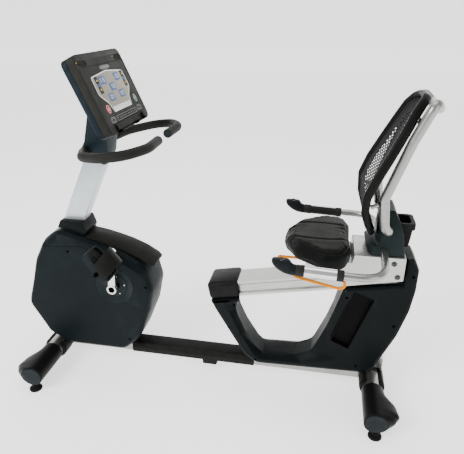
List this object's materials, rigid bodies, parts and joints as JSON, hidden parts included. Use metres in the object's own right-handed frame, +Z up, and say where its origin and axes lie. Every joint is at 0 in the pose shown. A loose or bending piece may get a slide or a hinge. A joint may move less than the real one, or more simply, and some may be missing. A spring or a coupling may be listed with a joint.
{
  "type": "recumbent exercise bike",
  "caption": "Recumbent exercise bike with an enclosed pedal drive, a leaning mast with console and handlebar, and a padded seat with a mesh back on an inclined rail.",
  "frame": {"origin": "middle of the bounding box at floor level", "axes": "+X from the drive housing towards the seat, +Y towards the rider's right side as they face the console, +Z up"},
  "size_m": [1.5238, 0.577, 1.2832],
  "materials": {
    "satin_silver_tube": "satin silver paint",
    "rail_aluminium": "satin anodised",
    "black_shell": "fine-grained, slightly blue black",
    "black_trim": "matt textured black",
    "black_rubber": "matt",
    "foam_grip": "closed-cell foam, matt",
    "vinyl_cover": "grained vinyl over foam",
    "back_mesh": "woven mesh",
    "dark_steel": "blackened",
    "crank_steel": "grey satin",
    "belt_rubber": "matt ribbed",
    "orange_rod": "gloss orange coating",
    "display": "gloss membrane and window"
  },
  "bodies": {
    "crankset": {"crank_axle": "crank_steel", "crank_left": "crank_steel", "crank_right": "crank_steel", "drive_pulley": "dark_steel"},
    "left_pedal": {"pedal_left": "black_trim", "strap_left": "black_rubber"},
    "right_pedal": {"pedal_right": "black_trim", "strap_right": "black_rubber"},
    "flywheel_body": {"flywheel": "dark_steel"},
    "seat": {"seat_carriage": "rail_aluminium", "seat_column": "black_shell", "backrest_tube": "satin_silver_tube", "backrest_frame": "black_trim", "backrest_mesh": "back_mesh", "seat_pad": "vinyl_cover", "seat_handlebar": "satin_silver_tube", "grip_left": "foam_grip", "grip_right": "foam_grip", "bottle_holder": "black_trim"},
    "release_lever": {"seat_lever": "orange_rod"},
    "lock_pad": {"rail_lock": "dark_steel"},
    "left_remote": {"remote_button_left": "black_rubber"},
    "right_remote": {"remote_button_right": "black_rubber"},
    "foot_fl": {"foot_front_left": "black_rubber"},
    "foot_fr": {"foot_front_right": "black_rubber"},
    "foot_rl": {"foot_rear_left": "black_rubber"},
    "foot_rr": {"foot_rear_right": "black_rubber"},
    "rack": {"reading_rack": "black_trim"},
    "frame": {"base_beam": "satin_silver_tube", "beam_cover": "black_trim", "brake_magnet": "dark_steel", "centre_foot": "black_rubber", "console_back": "black_shell", "console_front": "black_trim", "console_neck": "black_shell", "display_window": "display", "drive_belt": "belt_rubber", "drive_frame": "dark_steel", "end_cap_front_left": "black_trim", "end_cap_front_right": "black_trim", "end_cap_rear_left": "black_trim", "end_cap_rear_right": "black_trim", "front_saddle": "black_trim", "front_stabiliser": "satin_silver_tube", "handlebar": "foam_grip", "hub_cover_left": "black_trim", "hub_cover_right": "black_trim", "mast": "satin_silver_tube", "mast_collar": "black_shell", "rail_cap": "black_shell", "rail_front_post": "satin_silver_tube", "rear_cover_left": "black_shell", "rear_cover_right": "black_shell", "rear_post": "satin_silver_tube", "rear_saddle": "black_trim", "rear_stabiliser": "satin_silver_tube", "seat_rail": "rail_aluminium", "shroud_left": "black_shell", "shroud_right": "black_shell", "shroud_top": "black_trim"}
  },
  "joints": [
    {"name": "crank_spin", "type": "hinge", "parent": "frame", "child": "crankset", "pos_m": [-0.368, 0, 0.414], "axis": [0, 1, 0], "continuous": true},
    {"name": "left_pedal_spin", "type": "hinge", "parent": "crankset", "child": "left_pedal", "pos_m": [-0.35545, -0.205, 0.57351], "axis": [0, 1, 0], "continuous": true},
    {"name": "right_pedal_spin", "type": "hinge", "parent": "crankset", "child": "right_pedal", "pos_m": [-0.38055, 0.205, 0.25449], "axis": [0, 1, 0], "continuous": true},
    {"name": "flywheel_spin", "type": "hinge", "parent": "frame", "child": "flywheel_body", "pos_m": [-0.575, 0, 0.275], "axis": [0, 1, 0], "continuous": true},
    {"name": "seat_slide", "type": "slide", "parent": "frame", "child": "seat", "axis": [0.9823, 0, 0.1874], "range_m": [-0.225, 0]},
    {"name": "release_lever_lift", "type": "hinge", "parent": "seat", "child": "release_lever", "pos_m": [0.345, -0.06, 0.593], "axis": [0, -1, 0], "range_deg": [0, 5], "stiffness_Nm_per_rad": 3, "springref_deg": -5.73},
    {"name": "rail_lock_lift", "type": "slide", "parent": "seat", "child": "lock_pad", "axis": [-0.1874, 0, 0.9823], "range_m": [0, 0.003]},
    {"name": "left_remote_press", "type": "slide", "parent": "seat", "child": "left_remote", "axis": [0.1, 0, -0.995], "range_m": [0, 0.0015], "stiffness_N_per_m": 400, "springref_m": -0.001},
    {"name": "right_remote_press", "type": "slide", "parent": "seat", "child": "right_remote", "axis": [0.1, 0, -0.995], "range_m": [0, 0.0015], "stiffness_N_per_m": 400, "springref_m": -0.001},
    {"name": "foot_front_left_screw", "type": "slide", "parent": "frame", "child": "foot_fl", "axis": [0, 0, -1], "range_m": [0, 0.015]},
    {"name": "foot_front_right_screw", "type": "slide", "parent": "frame", "child": "foot_fr", "axis": [0, 0, -1], "range_m": [0, 0.015]},
    {"name": "foot_rear_left_screw", "type": "slide", "parent": "frame", "child": "foot_rl", "axis": [0, 0, -1], "range_m": [0, 0.015]},
    {"name": "foot_rear_right_screw", "type": "slide", "parent": "frame", "child": "foot_rr", "axis": [0, 0, -1], "range_m": [0, 0.015]},
    {"name": "reading_rack_fold", "type": "hinge", "parent": "frame", "child": "rack", "pos_m": [-0.28045, 0, 1.04238], "axis": [0, 1, 0], "range_deg": [0, 50]}
  ],
  "couplings": [
    {"joint": "flywheel_spin", "follows": "crank_spin", "ratio": 4},
    {"joint": "rail_lock_lift", "follows": "release_lever_lift", "m_per_rad": 0.034}
  ]
}
